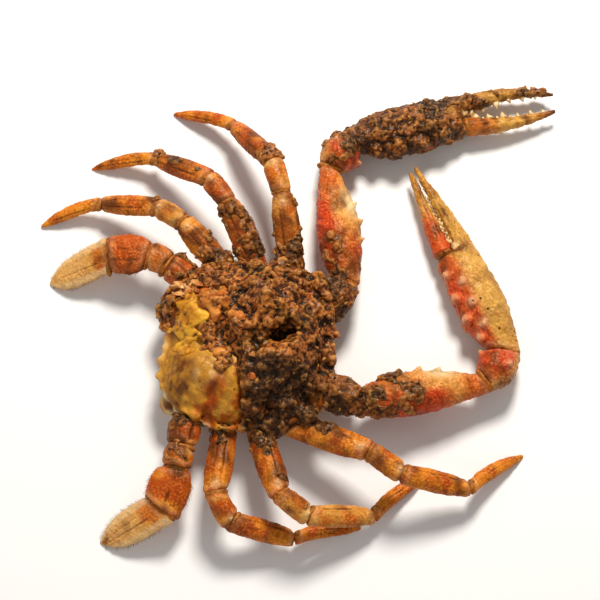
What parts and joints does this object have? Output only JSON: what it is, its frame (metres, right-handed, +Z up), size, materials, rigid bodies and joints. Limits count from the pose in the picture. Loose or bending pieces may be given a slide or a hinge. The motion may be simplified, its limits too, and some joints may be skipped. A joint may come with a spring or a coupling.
{
  "type": "cooked crab",
  "caption": "Whole cooked swimming crab with its top shell off, coated in dark spice masala, lying belly down with its claws and legs on.",
  "frame": {"origin": "middle of the flat of the belly, on which the crab rests", "axes": "+X the way the crab faces, +Y its left, +Z up"},
  "size_m": [0.2182, 0.1975, 0.0382],
  "materials": {
    "cream_shell": "cooked crab shell, cream to ochre with orange stains, semi-gloss",
    "orange_shell": "cooked crab shell, orange to brown, semi-gloss, oily",
    "red_shell": "cooked crab shell, orange red and cream in patches, semi-gloss",
    "masala": "thick coarse roasted spice paste, dark brown, grainy and oily"
  },
  "bodies": {
    "root": {"body": "cream_shell", "masala_heap": "masala", "right_claw_ischium": "orange_shell", "right_claw_merus": "red_shell", "right_claw_carpus": "orange_shell", "right_claw_palm": "cream_shell", "right_claw_finger": "cream_shell", "right_leg_1_merus": "orange_shell", "right_leg_1_carpus": "cream_shell", "right_leg_1_propodus": "orange_shell", "right_leg_1_dactyl": "cream_shell", "right_leg_2_merus": "orange_shell", "right_leg_2_carpus": "cream_shell", "right_leg_2_propodus": "orange_shell", "right_leg_2_dactyl": "cream_shell", "right_leg_3_merus": "orange_shell", "right_leg_3_carpus": "cream_shell", "right_leg_3_propodus": "orange_shell", "right_leg_3_dactyl": "cream_shell", "right_paddle_merus": "orange_shell", "right_paddle_carpus": "cream_shell", "right_paddle_propodus": "orange_shell", "right_paddle_dactyl": "cream_shell", "left_claw_ischium": "orange_shell", "left_claw_merus": "red_shell", "left_claw_carpus": "orange_shell", "left_claw_palm": "cream_shell", "left_claw_finger": "cream_shell", "left_leg_1_merus": "orange_shell", "left_leg_1_carpus": "cream_shell", "left_leg_1_propodus": "orange_shell", "left_leg_1_dactyl": "cream_shell", "left_leg_2_merus": "orange_shell", "left_leg_2_carpus": "cream_shell", "left_leg_2_propodus": "orange_shell", "left_leg_2_dactyl": "cream_shell", "left_leg_3_merus": "orange_shell", "left_leg_3_carpus": "cream_shell", "left_leg_3_propodus": "orange_shell", "left_leg_3_dactyl": "cream_shell", "left_paddle_merus": "orange_shell", "left_paddle_carpus": "cream_shell", "left_paddle_propodus": "orange_shell", "left_paddle_dactyl": "cream_shell"}
  },
  "joints": []
}
